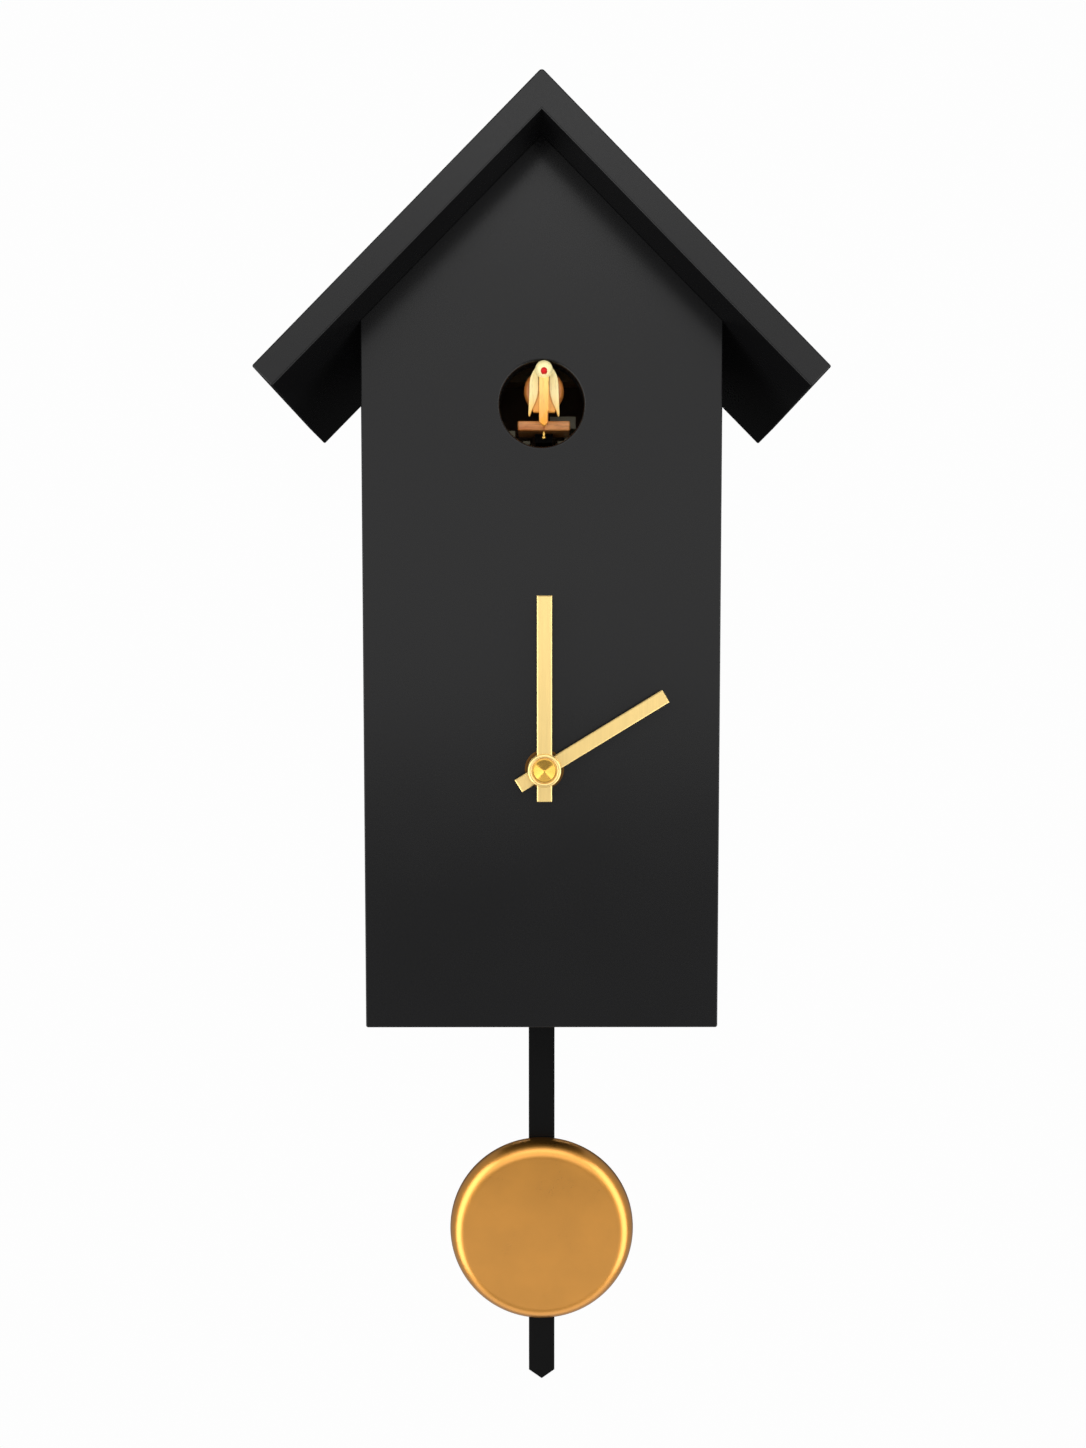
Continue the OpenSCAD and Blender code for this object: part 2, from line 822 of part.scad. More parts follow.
module cuckoo_motor() {
    inner_x = cheek_out + 0.1;
    color("#6b6a52") bird_place() difference() {
        union() {
            span([inner_x, 32], [29, 53], [-38, -14]);
            // sensor block beside the bird on its neck
            span([inner_x, 12], [29, 40], [-15, -3]);
            span([2.9, 14.9], [30, 40], [-4.4, 1]);
            translate([20, 53, -25]) bar_y(10, [0, 14]);
        }
        translate([0, pinion_y, pinion_z]) rotate([0, 90, 0])
            cylinder(r = pinion_arbor_r + eps, h = cheek_out + 5);
    }
}

module perch_block() {
    pin_r = 0.75;
    pin_low = -12.6;
    color("#8a4a2a") bird_place() difference() {
        span([-perch_w / 2, perch_w / 2], perch_y, perch_z);
        // groove in the middle of the front
        span([-0.45, 0.45], [perch_y[0] - over, perch_y[0] + 1], [perch_z[0] - over, perch_z[1] + over]);
    }
    color("#d9a441") bird_place() translate([0, pin_y, pin_low]) {
        cylinder(r = pin_r, h = perch_z[0] - pin_low + 1);
        cylinder(r1 = 0.5, r2 = 1.2, h = 1.4);
    }
}

module bird_body() {
    color("#d98a32") bird_place() {
        difference() {
            union() {
                // flat front with the breast and the legs
                translate([-strip_w / 2, 0, 0]) rotate([90, 0, 90]) linear_extrude(strip_w) polygon([
                    [-1.4, 15], [-1.7, 5], [-1.4, -3], [1, -9.4], [3.5, -9.4], [8, perch_z[1]],
                    [25, perch_z[1]], [27, 6], [18, 12], [7, 15]]);
                // round body
                translate([0, body_y, body_z]) rotate([-90, 0, 0]) rotate_extrude() polygon([
                    [0, 0], [7.6, 0], [8.6, 2], [9, 4.5], [8.6, 7.5], [7.2, 11], [4.6, 15], [1.5, 18],
                    [0, 18.4]]);
                for (side = [-1, 1]) at([side * shoulder[0], shoulder[1]])
                    bar_y(peg_r, [wing_y[0] - 0.4, body_y + over]);
            }
            // room for the roots of the wings behind the head
            span([-strip_w, strip_w], [wing_y[0] - 0.2, wing_y[1] + 0.2], [shoulder[1] - 2, 20]);
        }
        translate([0, head_y, head_z]) sphere(r = head_r);
    }
}

module bird_beak() {
    color("#c8201a") bird_place() difference() {
        translate([0, head_y - 3.4, beak_z]) rotate([90, 0, 0]) cylinder(r1 = 1.4, r2 = 0.8, h = 2.2);
        translate([0, head_y, head_z]) sphere(r = head_r);
    }
}

module wing(side) {
    color("#f4e3a0") bird_place() difference() {
        plate(wing_y) polygon([for (p = [
            [2.3, 14], [2.8, 15.8], [3.3, 16.5], [3.8, 16.6], [4.7, 15.4], [5.5, 13.9], [6.2, 12], [6.5, 9.5],
            [6.7, 4], [6.9, -1], [7, -3.6], [6.6, -4.8], [6.1, -4.3], [5.3, -2.1], [4.5, -0.6], [3.8, 0.9],
            [3.3, 2.2], [2.75, 3.9], [2.3, 6.7]])
            [side * p[0], p[1]]]);
        at([side * shoulder[0], shoulder[1]]) bar_y(peg_r + eps, [wing_y[0] - over, wing_y[1] + over]);
    }
}

// ---- sound ----

module speaker() {
    color("#2c2c2c") translate([speaker_x, 0, speaker_z]) difference() {
        union() {
            bar_y(22, [back_front - 3, back_front]);
            bar_y(17, [back_front - 8, back_front - 3]);
            bar_y(11, [back_front - 14, back_front - 8]);
        }
        translate([0, back_front + 0.01, 0]) rotate([90, 0, 0]) cylinder(r1 = 20, r2 = 8, h = 6);
    }
}

// a shape at each of the board's four holes
module at_board_holes() {
    places = [for (x = [board_x[0] + board_hole, board_x[1] - board_hole],
        z = [board_z[0] + board_hole, board_z[1] - board_hole]) [x, z]];
    for (p = places) at(p) children();
}

module sound_board() {
    top = board_y[1];
    color("#2f6b3a") {
        difference() {
            span(board_x, board_y, board_z);
            at_board_holes() bar_y(screw_r, [board_y[0] - over, top + over]);
        }
        at_board_holes() tube_y(2.6, 1.2, [top, back_front]);
        span([board_x[0] + 6, board_x[0] + 18], [board_y[0] - 2, board_y[0]],
            [board_z[1] - 16, board_z[1] - 6]);
    }
    color("#9a9a9a") {
        // switch body with its channel, and button body with its bore
        translate([switch_x, top, control_z]) difference() {
            span([-6.5, 6.5], [0, 4.5], [-3, 3]);
            span([-5.2, 5.2], [1, 6], [-1.7, 1.7]);
        }
        translate([button_x, top, control_z]) difference() {
            span([-4.5, 4.5], [0, 4.5], [-4.5, 4.5]);
            bar_y(button_r + eps, [1, 6]);
        }
    }
}

module mode_switch() {
    top = board_y[1];
    color("#e8e8e4") translate([switch_x, 0, control_z]) {
        span([-5, 0], [top + 1.1, top + 3.5], [-1.6, 1.6]);
        span([-4, -1], [top + 3.5, rear - 1], [-1.6, 1.6]);
    }
}

module test_button() {
    color("#b03028") translate([button_x, 0, control_z]) bar_y(button_r, [board_y[1] + 2.6, rear + 0.8]);
}

// ---- all nodes ----

front_panel();
side_wall(-1);  // side_wall_left
side_wall(1);  // side_wall_right
bottom_panel();
roof_board(-1);  // roof_board_left
roof_board(1);  // roof_board_right
back_panel();
back_panel_screws();
corner_blocks();
hanger_rail();
hanger_plate();
hanger_screws();
wall_pads();
housing_front();
housing_back();
housing_screws();
battery_cover();
threaded_bush();
rubber_washer();
metal_washer();
hex_nut();
clock_battery();
contact_plus();
contact_minus();
stepper_coil();
stator();
rotor();
circuit_board();
second_wheel();
third_wheel();
fourth_wheel();
centre_wheel();
minute_arbor();
minute_wheel();
setting_knob();
hour_wheel();
hour_hand();
minute_hand();
cone_nut();
pendulum_coil();
pendulum_pin();
pendulum_lever();
pendulum_magnet();
pendulum_rod();
bob_shell();
bob_back();
bob_clip();
cuckoo_frame();
cuckoo_carriage();
cuckoo_motor();
drive_pinion();
perch_block();
bird_body();
bird_beak();
wing(-1);  // wing_left
wing(1);  // wing_right
speaker();
sound_board();
mode_switch();
test_button();
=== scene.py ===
"""Looks of the pendulum wall clock: finishes, bevelled boards, hands, pendulum and bird."""

import json
import math

import bmesh
import bpy
from mathutils import Matrix, Vector
from mathutils.geometry import tessellate_polygon


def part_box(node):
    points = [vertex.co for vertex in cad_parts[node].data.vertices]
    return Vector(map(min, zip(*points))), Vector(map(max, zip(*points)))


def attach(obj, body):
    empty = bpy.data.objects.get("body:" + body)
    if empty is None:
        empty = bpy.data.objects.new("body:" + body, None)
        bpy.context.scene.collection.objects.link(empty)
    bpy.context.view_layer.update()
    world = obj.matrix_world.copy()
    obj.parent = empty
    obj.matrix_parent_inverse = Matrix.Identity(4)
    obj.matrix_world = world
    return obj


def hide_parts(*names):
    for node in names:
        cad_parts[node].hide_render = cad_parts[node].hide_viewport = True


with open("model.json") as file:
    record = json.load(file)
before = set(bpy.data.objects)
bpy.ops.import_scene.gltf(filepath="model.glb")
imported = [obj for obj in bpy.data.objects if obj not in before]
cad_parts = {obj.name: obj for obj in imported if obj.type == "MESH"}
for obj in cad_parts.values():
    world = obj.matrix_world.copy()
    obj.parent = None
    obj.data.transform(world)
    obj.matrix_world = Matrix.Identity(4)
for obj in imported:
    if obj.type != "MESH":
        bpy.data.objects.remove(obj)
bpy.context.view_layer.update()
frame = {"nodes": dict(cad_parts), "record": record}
CAD = frame["nodes"]
MM = 0.001


def low(node):
    """Lowest corner of a CAD node."""
    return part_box(node)[0]


def high(node):
    """Highest corner of a CAD node."""
    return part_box(node)[1]


def middle(node):
    """Centre of a CAD node's box."""
    return (low(node) + high(node)) / 2


# ---- places taken from the frame ----

PANEL_LOW, PANEL_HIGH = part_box("front_panel")
FACE_Y = PANEL_LOW.y
CASE_BOTTOM = PANEL_LOW.z
HALF_W = PANEL_HIGH.x
APEX_Z = PANEL_HIGH.z
EAVE_Z = APEX_Z - HALF_W
ROOF_LOW, ROOF_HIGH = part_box("roof_board_right")
HANDS = middle("cone_nut")
BOB = middle("bob_shell")
BOB_R = high("bob_shell").x
# the bird's hole, and a point a little above the perch that the bird is measured from
HOLE_R = 18.75 * MM
BIRD = Vector((middle("perch_block").x, FACE_Y, high("perch_block").z + 4.8 * MM))


# ---- camera and studio ----

def make_camera():
    """A camera in front of the case, a little above the hands, looking slightly down."""
    distance, height, aside = 518.1 * MM, 159 * MM, -0.8 * MM
    down, turn = -0.05377, -0.00264
    data = bpy.data.cameras.new("camera")
    data.sensor_width = 36
    data.lens = 28.72
    data.shift_y = 0.011
    camera = bpy.data.objects.new("camera", data)
    bpy.context.scene.collection.objects.link(camera)
    camera.location = (aside, FACE_Y - distance, CASE_BOTTOM + height)
    facing = (Matrix.Rotation(turn, 3, "Z") @ Matrix.Rotation(down, 3, "X")
              @ Matrix.Rotation(math.pi / 2, 3, "X"))
    camera.rotation_euler = facing.to_euler()
    bpy.context.scene.camera = camera


def make_surround():
    """A surround that looks white but lights only dimly, and is darkest behind the clock."""
    white = (1, 1, 1, 1)
    world = bpy.data.worlds.new("surround")
    bpy.context.scene.world = world
    world.use_nodes = True
    nodes, links = world.node_tree.nodes, world.node_tree.links
    direction = nodes.new("ShaderNodeTexCoord")
    axes = nodes.new("ShaderNodeSeparateXYZ")
    links.new(direction.outputs["Generated"], axes.inputs[0])
    behind = nodes.new("ShaderNodeMapRange")
    for socket, value in (("From Min", 0.55), ("From Max", 0.92), ("To Min", 0.35), ("To Max", 0.01)):
        behind.inputs[socket].default_value = value
    links.new(axes.outputs["Y"], behind.inputs["Value"])
    lighting = nodes["Background"]
    lighting.inputs["Color"].default_value = white
    links.new(behind.outputs[0], lighting.inputs["Strength"])
    seen = nodes.new("ShaderNodeBackground")
    seen.inputs["Color"].default_value = white
    seen.inputs["Strength"].default_value = 0.985
    path = nodes.new("ShaderNodeLightPath")
    mix = nodes.new("ShaderNodeMixShader")
    links.new(path.outputs["Is Camera Ray"], mix.inputs["Fac"])
    links.new(lighting.outputs[0], mix.inputs[1])
    links.new(seen.outputs[0], mix.inputs[2])
    links.new(mix.outputs[0], nodes["World Output"].inputs["Surface"])


def area_light(name, place, aim, size, watts):
    """A soft box that faces the point it is aimed at."""
    data = bpy.data.lights.new(name, "AREA")
    data.shape = "RECTANGLE"
    data.size, data.size_y = size
    data.energy = watts
    lamp = bpy.data.objects.new(name, data)
    lamp.location = place
    lamp.rotation_euler = (Vector(aim) - Vector(place)).to_track_quat("-Z", "Y").to_euler()
    bpy.context.scene.collection.objects.link(lamp)


def make_lights():
    """Soft boxes at both sides, in front and above, weak ones from below, and one behind the clock."""
    target = (0, FACE_Y, -0.2)
    # name, place, width and height, watts
    boxes = [
        ("box_left", (-1.2, FACE_Y - 0.85, -0.5), (0.9, 2.5), 18),
        ("box_right", (1.2, FACE_Y - 0.85, -0.5), (0.9, 2.5), 16),
        ("box_front", (0, FACE_Y - 1.8, 0.3), (2.4, 1.4), 9.2),
        ("box_top", (0, FACE_Y - 1.5, 1.02), (2.0, 0.7), 5.6),
        ("box_low", (0, FACE_Y - 1.6, -1.4), (2.2, 0.5), 1.3),
        ("box_floor", (0, FACE_Y - 0.3, -1.6), (1.6, 0.7), 2),
        ("box_back", (0, 0.9, 1.1), (1.4, 0.8), 13),
    ]
    for name, place, size, watts in boxes:
        area_light(name, place, target, size, watts)
    bpy.context.scene.view_settings.view_transform = "Standard"


# ---- materials ----

class Finish:
    """A procedural material built round one Principled shader."""

    def __init__(self, name, colour, roughness, metallic=0.0, coat=0.0, coat_roughness=0.1):
        self.material = bpy.data.materials.new(name)
        self.material.use_nodes = True
        self.nodes = self.material.node_tree.nodes
        self.links = self.material.node_tree.links
        self.shader = self.nodes["Principled BSDF"]
        self.place = self.nodes.new("ShaderNodeTexCoord").outputs["Object"]
        self.shader.inputs["Base Color"].default_value = (*colour, 1)
        self.shader.inputs["Roughness"].default_value = roughness
        self.shader.inputs["Metallic"].default_value = metallic
        self.shader.inputs["Coat Weight"].default_value = coat
        self.shader.inputs["Coat Roughness"].default_value = coat_roughness

    def stretched(self, stretch):
        """Object coordinates, scaled along each axis."""
        mapping = self.nodes.new("ShaderNodeMapping")
        mapping.inputs["Scale"].default_value = stretch
        self.links.new(self.place, mapping.inputs["Vector"])
        return mapping.outputs["Vector"]

    def noise(self, per_metre, detail=3.0, stretch=(1, 1, 1), distortion=0.0, roughness=0.55):
        """Soft random patches, from 0 to 1; per_metre sets how fine they are."""
        node = self.nodes.new("ShaderNodeTexNoise")
        node.inputs["Scale"].default_value = per_metre
        node.inputs["Detail"].default_value = detail
        node.inputs["Roughness"].default_value = roughness
        node.inputs["Distortion"].default_value = distortion
        self.links.new(self.stretched(stretch), node.inputs["Vector"])
        return node.outputs["Fac"]

    def waves(self, per_metre, distortion, stretch=(1, 1, 1)):
        """Wavy bands that follow each other along X."""
        node = self.nodes.new("ShaderNodeTexWave")
        node.wave_type = "BANDS"
        node.bands_direction = "X"
        node.inputs["Scale"].default_value = per_metre
        node.inputs["Distortion"].default_value = distortion
        node.inputs["Detail"].default_value = 3
        node.inputs["Detail Scale"].default_value = 1.5
        self.links.new(self.stretched(stretch), node.inputs["Vector"])
        return node.outputs["Fac"]

    def ramp(self, fac, stops):
        """Colours that blend into each other from stop to stop."""
        node = self.nodes.new("ShaderNodeValToRGB")
        ramp = node.color_ramp
        while len(ramp.elements) < len(stops):
            ramp.elements.new(0.5)
        for element, (position, colour) in zip(ramp.elements, stops):
            element.position = position
            element.color = (*colour, 1)
        self.links.new(fac, node.inputs["Fac"])
        return node.outputs["Color"]

    def remap(self, fac, from_low, from_high, to_low, to_high):
        """A value moved from one range to another and kept inside it."""
        node = self.nodes.new("ShaderNodeMapRange")
        for socket, value in zip(("From Min", "From Max", "To Min", "To Max"),
                                 (from_low, from_high, to_low, to_high)):
            node.inputs[socket].default_value = value
        self.links.new(fac, node.inputs["Value"])
        return node.outputs["Result"]

    def mix(self, fac, first, second, how="MIX"):
        """Mixes two colours; each is a socket or a plain colour."""
        node = self.nodes.new("ShaderNodeMix")
        node.data_type = "RGBA"
        node.blend_type = how
        for socket, value in (("Factor", fac), ("A", first), ("B", second)):
            target = next(s for s in node.inputs if s.name == socket and s.enabled)
            if isinstance(value, bpy.types.NodeSocket):
                self.links.new(value, target)
            elif socket == "Factor":
                target.default_value = value
            else:
                target.default_value = (*value, 1)
        return next(s for s in node.outputs if s.enabled)

    def total(self, first, second):
        """The sum of two sockets."""
        node = self.nodes.new("ShaderNodeMath")
        node.operation = "ADD"
        self.links.new(first, node.inputs[0])
        self.links.new(second, node.inputs[1])
        return node.outputs[0]

    def height(self):
        """The Z coordinate."""
        node = self.nodes.new("ShaderNodeSeparateXYZ")
        self.links.new(self.place, node.inputs[0])
        return node.outputs["Z"]

    def colour(self, socket):
        """Feeds the base colour."""
        self.links.new(socket, self.shader.inputs["Base Color"])

    def roughness(self, socket):
        """Feeds the roughness."""
        self.links.new(socket, self.shader.inputs["Roughness"])

    def bump(self, height, millimetres, strength):
        """Shades the surface as if it were that much higher where the value is 1."""
        node = self.nodes.new("ShaderNodeBump")
        node.inputs["Strength"].default_value = strength
        node.inputs["Distance"].default_value = millimetres * MM
        self.links.new(height, node.inputs["Height"])
        self.links.new(node.outputs["Normal"], self.shader.inputs["Normal"])


def scaled(colour, factor):
    """A lighter or darker shade of a colour."""
    return tuple(channel * factor for channel in colour)


def along(axis, share):
    """A texture scale that draws the pattern out along one axis; the smaller the share, the longer."""
    return tuple(share if letter == axis else 1 for letter in "XYZ")


def lacquer():
    """Matt black lacquer on smooth fibreboard: a fine sprayed texture and soft cloudy patches."""
    black = (0.0045, 0.0045, 0.0048)
    finish = Finish("black_lacquer", black, 0.25)
    finish.shader.inputs["Specular IOR Level"].default_value = 0.3
    clouds = finish.noise(14, detail=3)
    specks = finish.noise(900, detail=2)
    finish.colour(finish.mix(clouds, scaled(black, 0.9), scaled(black, 1.12)))
    finish.roughness(finish.remap(finish.total(clouds, specks), 0.6, 1.4, 0.23, 0.3))
    finish.bump(finish.total(finish.noise(450, detail=3), specks), 0.012, 0.5)
    return finish.material


def brushed_metal(name, colour, roughness, stretch, depth=0.006, per_metre=1400):
    """Metal with fine straight brush lines along the axis of stretch."""
    finish = Finish(name, colour, roughness, metallic=1.0)
    lines = finish.noise(per_metre, detail=3, stretch=stretch)
    clouds = finish.noise(60, detail=2)
    finish.colour(finish.mix(lines, scaled(colour, 0.9), scaled(colour, 1.06)))
    spread = 0.07
    uneven = finish.total(lines, clouds)
    finish.roughness(finish.remap(uneven, 0.6, 1.4, roughness - spread, roughness + spread))
    finish.bump(lines, depth, 0.6)
    return finish.material


def satin_metal(name, colour, roughness, per_metre=1500, depth=0.002, coat=0.0):
    """Metal with a fine blasted grain under lacquer, a little uneven in tone."""
    finish = Finish(name, colour, roughness, metallic=1.0, coat=coat, coat_roughness=0.2)
    grain = finish.noise(per_metre, detail=2)
    clouds = finish.noise(45, detail=3)
    finish.colour(finish.mix(clouds, scaled(colour, 0.88), scaled(colour, 1.08)))
    spread = 0.06
    uneven = finish.total(grain, clouds)
    finish.roughness(finish.remap(uneven, 0.6, 1.4, roughness - spread, roughness + spread))
    finish.bump(grain, depth, 0.5)
    return finish.material


def plastic(name, colour, roughness, grain_mm=0.01, per_metre=1800, coat=0.0, shine=0.5):
    """Moulded plastic with a spark eroded grain."""
    finish = Finish(name, colour, roughness, coat=coat)
    finish.shader.inputs["Specular IOR Level"].default_value = shine
    grain = finish.noise(per_metre, detail=2)
    clouds = finish.noise(70, detail=2)
    finish.colour(finish.mix(clouds, scaled(colour, 0.88), scaled(colour, 1.1)))
    finish.roughness(finish.remap(grain, 0.3, 0.7, roughness - 0.06, roughness + 0.08))
    finish.bump(grain, grain_mm, 0.5)
    return finish.material


def grained_wood(name, light, dark, roughness, stretch, per_metre=160, depth=0.03, coat=0.0, height_tint=None):
    """Wood with its grain along the axis of stretch. A height tint is a colour multiplied in that fades in
    between two heights.
    """
    finish = Finish(name, light, roughness, coat=coat)
    figure = finish.noise(per_metre, detail=5, stretch=stretch, distortion=0.6)
    pores = finish.noise(per_metre * 7, detail=2, stretch=stretch)
    tone = finish.ramp(figure, [(0.3, dark), (0.5, light), (0.72, scaled(light, 1.12))])
    if height_tint:
        start, end, tint = height_tint
        tone = finish.mix(finish.remap(finish.height(), start, end, 0, 1), tone, tint, how="MULTIPLY")
    finish.colour(finish.mix(finish.remap(pores, 0.35, 0.5, 0.35, 0.0), tone, scaled(dark, 0.6)))
    finish.roughness(finish.remap(pores, 0.3, 0.7, roughness + 0.1, roughness - 0.05))
    finish.bump(finish.total(figure, pores), depth, 0.5)
    return finish.material


def hardboard():
    """Brown hardboard with its fibre mottle."""
    finish = Finish("hardboard", (0.16, 0.09, 0.045), 0.75)
    fibres = finish.noise(700, detail=5, distortion=1.5)
    clouds = finish.noise(30, detail=4)
    tone = finish.mix(fibres, (0.1, 0.055, 0.027), (0.22, 0.13, 0.07))
    finish.colour(finish.mix(clouds, tone, (0.15, 0.085, 0.045)))
    finish.bump(fibres, 0.05, 0.6)
    return finish.material


def circuit_green():
    """Solder mask with faint copper tracks under it."""
    finish = Finish("solder_mask", (0.02, 0.12, 0.04), 0.35, coat=0.4)
    tracks = finish.waves(320, 2.0, stretch=along("Y", 0.1))
    stops = [(0.0, (0.012, 0.075, 0.025)), (0.5, (0.015, 0.1, 0.035)), (0.62, (0.05, 0.2, 0.07))]
    finish.colour(finish.ramp(tracks, stops))
    finish.bump(tracks, 0.03, 0.4)
    return finish.material


def copper_winding():
    """Fine enamelled wire, wound side by side, with painted shade in the grooves between the turns."""
    finish = Finish("copper_winding", (0.5, 0.17, 0.06), 0.35, metallic=0.9)
    turns = finish.waves(1600, 0.4)
    # painted shade: the dark end of the ramp colours the grooves between the turns
    finish.colour(finish.ramp(turns, [(0.0, (0.25, 0.07, 0.02)), (0.6, (0.62, 0.24, 0.09))]))
    finish.bump(turns, 0.08, 0.8)
    return finish.material


MATERIALS = {
    # case
    "black_board": lacquer(),
    "raw_board": hardboard(),
    "pine": grained_wood("pine", (0.6, 0.42, 0.22), (0.42, 0.26, 0.12), 0.6, along("X", 0.15)),
    "zinc_steel": brushed_metal("zinc_steel", (0.62, 0.62, 0.6), 0.36, along("Z", 0.05)),
    "black_plastic": plastic("black_plastic", (0.005, 0.005, 0.005), 0.5, shine=0.25),
    "black_rubber": plastic("black_rubber", (0.022, 0.022, 0.022), 0.8, grain_mm=0.03),
    # hands and pendulum
    "hand_gold": brushed_metal("hand_gold", (0.98, 0.72, 0.29), 0.38, along("Z", 0.04), depth=0.002),
    "gold_brass": brushed_metal("gold_brass", (0.92, 0.58, 0.14), 0.27, along("Y", 0.05), depth=0.0003),
    "brass_deep": brushed_metal("brass_deep", (0.78, 0.45, 0.085), 0.25, along("Y", 0.05), depth=0.0002),
    # painted shade: brass darkened for the washer, whose face lies in the shadow of the hub
    "brass_painted_shade": satin_metal("brass_painted_shade", (0.16, 0.075, 0.02), 0.3),
    "bob_gold": satin_metal("bob_gold", (0.9, 0.4, 0.065), 0.32, coat=0.8),
    "rod_black": plastic("rod_black", (0.003, 0.003, 0.003), 0.42, grain_mm=0.006, shine=0.08),
    "magnet": satin_metal("magnet", (0.42, 0.42, 0.43), 0.3),
    # movement and electrics
    "copper_wire": copper_winding(),
    "cell_wrap": plastic("cell_wrap", (0.1, 0.2, 0.35), 0.3, grain_mm=0.003, coat=0.5),
    "nickel": brushed_metal("nickel", (0.72, 0.71, 0.66), 0.22, along("Z", 0.05), depth=0.003),
    "lamination": brushed_metal("lamination", (0.4, 0.42, 0.45), 0.4, along("X", 0.05)),
    "white_plastic": plastic("white_plastic", (0.78, 0.75, 0.66), 0.42),
    "red_plastic": plastic("red_plastic", (0.6, 0.03, 0.02), 0.3, coat=0.3),
    "board_green": circuit_green(),
    "paper_black": plastic("paper_black", (0.025, 0.025, 0.025), 0.7, grain_mm=0.03),
    # bird and its mechanism
    "olive_plastic": plastic("olive_plastic", (0.4, 0.37, 0.25), 0.5),
    # painted shade: the olive plastic darkened for the bird frame, which stands in shade inside the hole
    "olive_painted_shade": plastic("olive_painted_shade", (0.07, 0.062, 0.036), 0.6, shine=0.3),
    # painted shade: near black for the carriage, which stands in the dark of the hole
    "pit_painted_shade": plastic("pit_painted_shade", (0.0015, 0.0015, 0.0015), 0.6, shine=0.08),
    # both bird finishes turn darker and more golden towards the bottom
    "bird_orange": grained_wood("bird_orange", (0.96, 0.62, 0.17), (0.9, 0.53, 0.12), 0.35,
                                along("Z", 0.2), depth=0.01, coat=0.1,
                                height_tint=(BIRD.z + 11 * MM, BIRD.z - 8 * MM, (0.92, 0.55, 0.2))),
    "bird_cream": grained_wood("bird_cream", (1.0, 0.87, 0.44), (0.97, 0.8, 0.36), 0.35,
                               along("Z", 0.2), depth=0.01, coat=0.1,
                               height_tint=(BIRD.z + 5 * MM, BIRD.z - 5 * MM, (0.95, 0.62, 0.22))),
    "bird_brown": grained_wood("bird_brown", (0.5, 0.17, 0.028), (0.36, 0.11, 0.015), 0.45, along("Z", 0.2)),
    "beak_red": plastic("beak_red", (0.62, 0.006, 0.008), 0.4, shine=0.25),
    "perch_wood": grained_wood("perch_wood", (0.95, 0.4, 0.12), (0.75, 0.24, 0.05), 0.4,
                               along("X", 0.15), coat=0.2),
}

# CAD nodes that stand in shade in the real clock; their materials, darker than their slot, are painted shade
PAINTED_SHADE_LOOKS = {"cuckoo_frame": "olive_painted_shade", "cuckoo_carriage": "pit_painted_shade", "metal_washer": "brass_painted_shade"}


def finish_cad_nodes():
    """Gives every CAD node its finish."""
    for part in frame["record"]["subparts"]:
        piece = CAD[part["node"]]
        material = MATERIALS[PAINTED_SHADE_LOOKS.get(part["node"], part["material_slot"])]
        piece.data.materials.clear()
        piece.data.materials.append(material)


# ---- mesh building ----

def face_view(across, depth, up):
    """Outline in X and Z, thickness along Y."""
    return across, depth, up


def side_view(across, depth, up):
    """Outline in Y and Z, thickness along X."""
    return depth, across, up


def top_view(across, depth, up):
    """Outline in X and Y, thickness along Z."""
    return across, up, depth


def arc(centre, radius, start, end, steps):
    """Points along an arc, with its angles in degrees."""
    turns = [math.radians(start + (end - start) * i / steps) for i in range(steps + 1)]
    return [(centre[0] + radius * math.cos(t), centre[1] + radius * math.sin(t)) for t in turns]


def circle(centre, radius, steps=96):
    """A closed circle, counter-clockwise."""
    return arc(centre, radius, 0, 360, steps)[:-1]


def box_outline(low_corner, high_corner):
    """A rectangle, counter-clockwise."""
    return [(low_corner[0], low_corner[1]), (high_corner[0], low_corner[1]),
            (high_corner[0], high_corner[1]), (low_corner[0], high_corner[1])]


def rounded(points, radii, steps=5):
    """A closed outline with each corner rounded by its radius."""
    result = []
    for i, corner in enumerate(points):
        corner = Vector(corner)
        before = (Vector(points[i - 1]) - corner).normalized()
        after = (Vector(points[(i + 1) % len(points)]) - corner).normalized()
        radius = radii[i]
        if radius == 0:
            result.append(tuple(corner))
            continue
        half = before.angle(after) / 2
        centre = corner + (before + after).normalized() * radius / math.sin(half)
        start = corner + before * radius / math.tan(half) - centre
        end = corner + after * radius / math.tan(half) - centre
        for step in range(steps + 1):
            share = step / steps
            spoke = (start * (1 - share) + end * share).normalized() * radius
            result.append(tuple(centre + spoke))
    return result


def inset(points, distances):
    """A counter-clockwise outline with each edge moved inwards by its distance; edge i starts at point i."""
    moved = []
    for i, corner in enumerate(points):
        corner = Vector(corner)
        first = (corner - Vector(points[i - 1])).normalized()
        second = (Vector(points[(i + 1) % len(points)]) - corner).normalized()
        a, b = Vector((-first.y, first.x)), Vector((-second.y, second.x))
        near, far = distances[i - 1], distances[i]
        cross = a.x * b.y - a.y * b.x
        if abs(cross) < 1e-4:
            moved.append(corner + a * near)
        else:
            moved.append(corner + Vector((near * b.y - far * a.y, far * a.x - near * b.x)) / cross)
    return moved


def edge(width, depth=None, steps=4):
    """Pairs of inset and depth across a rounded edge. One step makes a chamfer, no width a sharp edge."""
    if width == 0:
        return [(0, 0)]
    depth = width if depth is None else depth
    turns = [math.pi / 2 * i / steps for i in range(steps + 1)]
    return [(width * (1 - math.sin(t)), depth * (1 - math.cos(t))) for t in turns]


def in_metres(pairs):
    """Pairs given in millimetres, as metres."""
    return [(first * MM, second * MM) for first, second in pairs]


